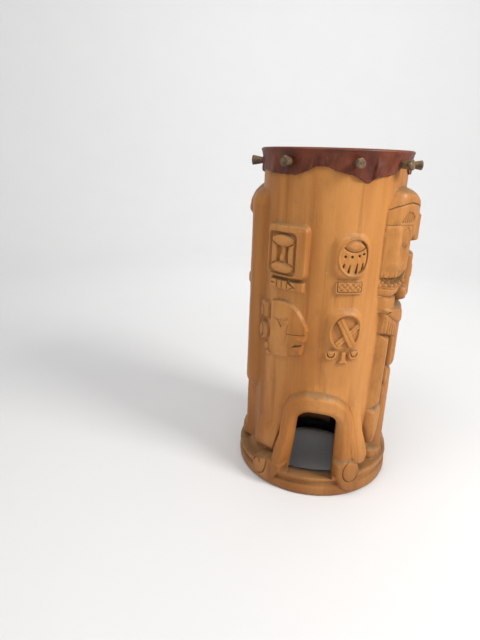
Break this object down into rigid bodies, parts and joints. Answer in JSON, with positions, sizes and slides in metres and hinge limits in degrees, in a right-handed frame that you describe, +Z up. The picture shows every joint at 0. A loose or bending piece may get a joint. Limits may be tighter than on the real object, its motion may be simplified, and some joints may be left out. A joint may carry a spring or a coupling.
{
  "type": "ceremonial ritual drum",
  "caption": "Tall standing trunk drum, carved with glyph blocks and side figures, with an archway through its foot and a pegged hide head.",
  "frame": {"origin": "on the floor at the drum's axis", "axes": "+Z up along the trunk, -Y towards the front with the glyph panel, +X to the front's right"},
  "size_m": [0.4547, 0.4428, 0.9],
  "materials": {
    "carved_wood": "hand carved, waxed, honey brown",
    "hide": "dark red brown hide with a soft gloss",
    "peg_wood": "raw wooden pegs with pale end grain"
  },
  "bodies": {
    "root": {"drum_body": "carved_wood", "drum_skin": "hide", "peg_1": "peg_wood", "peg_2": "peg_wood", "peg_3": "peg_wood", "peg_4": "peg_wood", "peg_5": "peg_wood", "peg_6": "peg_wood", "peg_7": "peg_wood", "peg_8": "peg_wood"}
  },
  "joints": []
}
